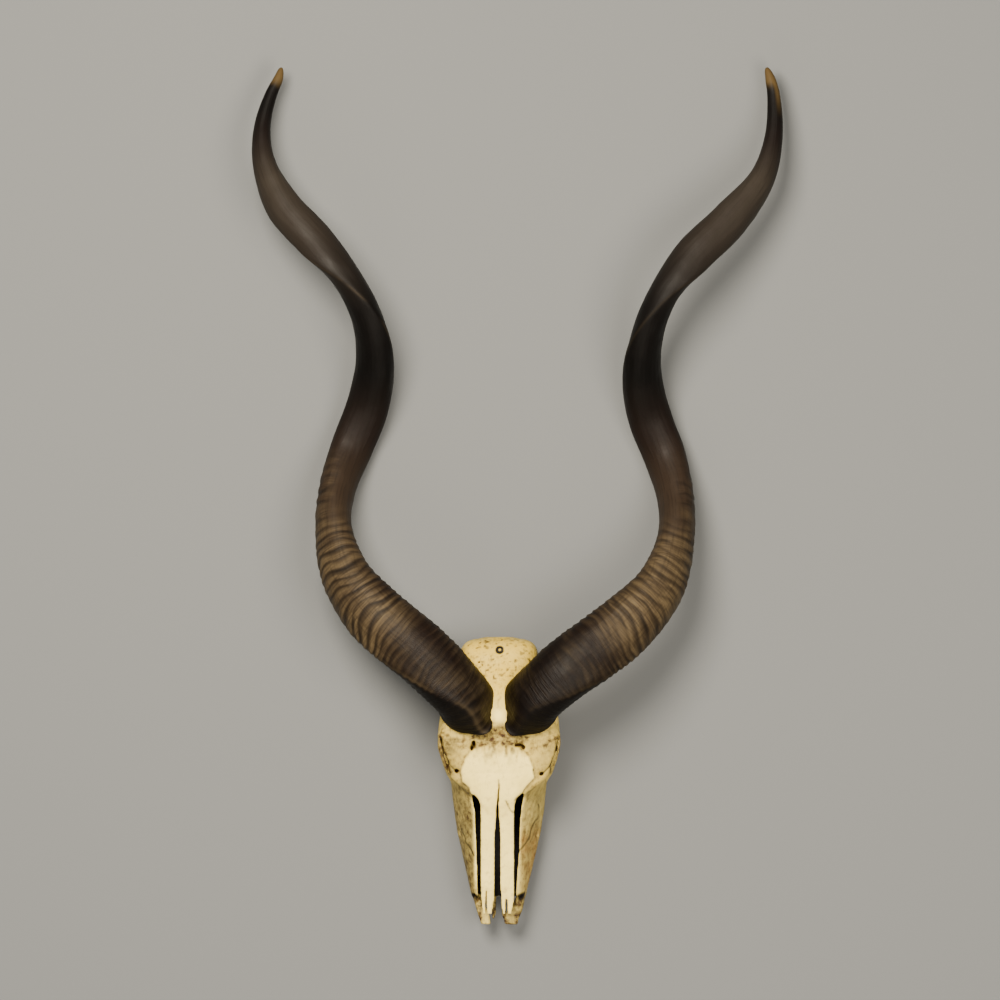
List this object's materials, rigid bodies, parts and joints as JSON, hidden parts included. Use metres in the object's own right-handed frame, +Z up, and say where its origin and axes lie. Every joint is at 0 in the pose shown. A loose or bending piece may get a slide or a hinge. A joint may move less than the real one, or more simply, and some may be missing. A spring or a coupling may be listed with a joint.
{
  "type": "greater kudu skull",
  "caption": "Weathered antelope skull with long spiral horns, lying face up on its cheek teeth and horn bends, for display or as a natural prop.",
  "frame": {"origin": "on the floor, under the middle of the box that holds the skull and both horns", "axes": "+Z up out of the forehead, +Y from the nose towards the horn tips, +X towards the picture's right-hand horn"},
  "size_m": [0.6974, 1.127, 0.183],
  "materials": {
    "bone": "dry weathered bone, cream with yellow and tan stains, matte",
    "horn": "dark brown keratin, ridged and dull below, smooth satin above, ochre tips",
    "tooth": "worn ivory enamel with brown grooves, half gloss"
  },
  "bodies": {
    "root": {"skull": "bone", "horn_left": "horn", "horn_right": "horn", "premolar_1_left": "tooth", "premolar_2_left": "tooth", "premolar_3_left": "tooth", "molar_1_left": "tooth", "molar_2_left": "tooth", "molar_3_left": "tooth", "premolar_1_right": "tooth", "premolar_2_right": "tooth", "premolar_3_right": "tooth", "molar_1_right": "tooth", "molar_2_right": "tooth", "molar_3_right": "tooth"}
  },
  "joints": []
}
